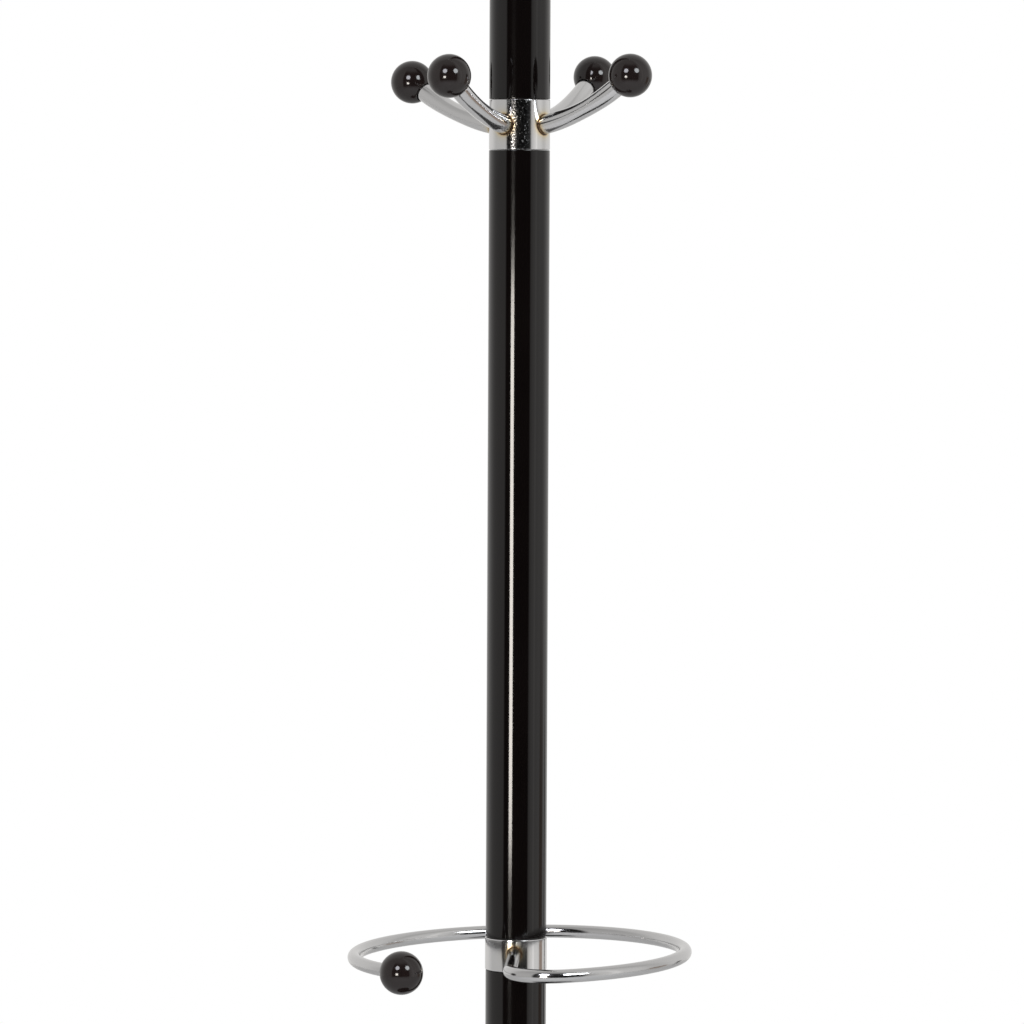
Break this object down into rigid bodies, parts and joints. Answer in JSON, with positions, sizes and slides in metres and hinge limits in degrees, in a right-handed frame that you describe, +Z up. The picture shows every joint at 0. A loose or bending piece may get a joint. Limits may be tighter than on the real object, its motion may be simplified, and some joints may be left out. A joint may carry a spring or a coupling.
{
  "type": "standing coat rack",
  "caption": "Free-standing coat rack: round dished base, sectional post, two crowns of ball-tipped arms and a C-shaped umbrella ring, each on a collar that turns about the post.",
  "frame": {"origin": "on the floor, under the post's axis, which is also the middle of the round base", "axes": "+Z up along the post; -Y is the front, where the umbrella ring's stem leaves its collar; +X is to the right seen from the front"},
  "size_m": [0.38, 0.38, 1.7209],
  "materials": {
    "chrome": "bright chrome plate, mirror polished",
    "black_enamel": "high-gloss black stove enamel",
    "cast_enamel": "black enamel with a faint cast grain",
    "black_plastic": "polished black moulded plastic",
    "rubber": "matt black rubber",
    "steel": "zinc-plated steel"
  },
  "bodies": {
    "stand": {"base_casting": "cast_enamel", "foot_1": "rubber", "foot_2": "rubber", "foot_3": "rubber", "foot_4": "rubber", "foot_5": "rubber", "base_washer": "steel", "base_bolt": "steel", "post_ferrule": "chrome", "lower_post_tube": "black_enamel", "lower_tube_bottom_plug": "steel", "lower_tube_top_plug": "steel", "middle_post_tube": "black_enamel", "middle_tube_bottom_plug": "steel", "middle_tube_top_plug": "steel", "upper_post_tube": "black_enamel", "upper_tube_bottom_plug": "steel", "upper_tube_top_plug": "steel", "umbrella_collar_core": "steel", "umbrella_collar_stud": "steel", "lower_crown_core": "steel", "lower_crown_stud": "steel", "top_crown_core": "steel", "top_crown_stud": "steel", "top_cap": "black_plastic"},
    "umbrella_holder": {"umbrella_collar": "chrome", "umbrella_ring": "chrome", "umbrella_ring_ball": "black_plastic", "umbrella_ring_ball_stud": "steel"},
    "lower_crown": {"lower_crown_collar": "chrome", "short_arm_1": "chrome", "short_arm_1_ball": "black_plastic", "short_arm_1_ball_stud": "steel", "short_arm_2": "chrome", "short_arm_2_ball": "black_plastic", "short_arm_2_ball_stud": "steel", "short_arm_3": "chrome", "short_arm_3_ball": "black_plastic", "short_arm_3_ball_stud": "steel", "short_arm_4": "chrome", "short_arm_4_ball": "black_plastic", "short_arm_4_ball_stud": "steel"},
    "top_crown": {"top_crown_collar": "chrome", "long_arm_1": "chrome", "long_arm_1_ball": "black_plastic", "long_arm_1_ball_stud": "steel", "long_arm_2": "chrome", "long_arm_2_ball": "black_plastic", "long_arm_2_ball_stud": "steel", "long_arm_3": "chrome", "long_arm_3_ball": "black_plastic", "long_arm_3_ball_stud": "steel", "long_arm_4": "chrome", "long_arm_4_ball": "black_plastic", "long_arm_4_ball_stud": "steel"}
  },
  "joints": [
    {"name": "umbrella_holder_swivel", "type": "hinge", "parent": "stand", "child": "umbrella_holder", "pos_m": [0, 0, 0.5535], "axis": [0, 0, 1], "continuous": true},
    {"name": "lower_crown_swivel", "type": "hinge", "parent": "stand", "child": "lower_crown", "pos_m": [0, 0, 1.0811], "axis": [0, 0, 1], "continuous": true},
    {"name": "top_crown_swivel", "type": "hinge", "parent": "stand", "child": "top_crown", "pos_m": [0, 0, 1.6143], "axis": [0, 0, 1], "continuous": true}
  ]
}
